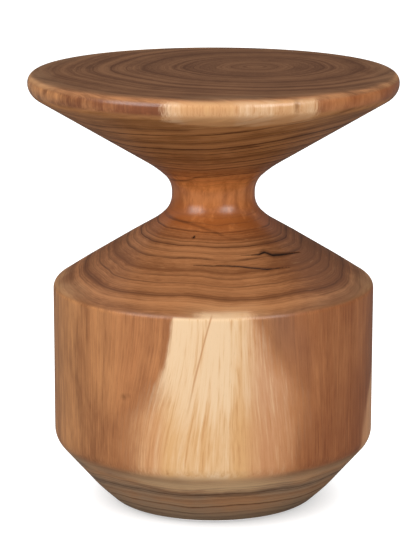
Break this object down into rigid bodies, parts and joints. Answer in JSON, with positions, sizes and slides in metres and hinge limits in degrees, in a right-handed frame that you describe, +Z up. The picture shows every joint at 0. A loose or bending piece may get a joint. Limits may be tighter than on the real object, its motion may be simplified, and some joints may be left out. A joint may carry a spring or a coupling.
{
  "type": "hourglass side table",
  "caption": "Solid turned wood side table: flat round top over a steep cone, narrow neck, and a heavy round drum with a sloped shoulder and tapered foot.",
  "frame": {"origin": "on the floor, on the table's axis", "axes": "+Z up along the axis of turning, +X to the right as the table is seen in the picture, +Y away from the viewer"},
  "size_m": [0.4569, 0.457, 0.54],
  "materials": {
    "turned_wood": "satin lacquer",
    "plug_wood": "bare, sanded",
    "zinc_steel": "zinc plated",
    "insert_brass": "as machined",
    "cup_plastic": "matt",
    "glide_felt": "pressed felt"
  },
  "bodies": {
    "root": {"table_top": "turned_wood", "neck_spindle": "turned_wood", "drum_body": "turned_wood", "tie_rod": "zinc_steel", "threaded_insert": "insert_brass", "seat_washer": "zinc_steel", "spring_washer": "zinc_steel", "hex_nut": "zinc_steel", "bore_plug": "plug_wood", "glide_cups": "cup_plastic", "glide_felts": "glide_felt", "glide_screws": "zinc_steel"}
  },
  "joints": []
}
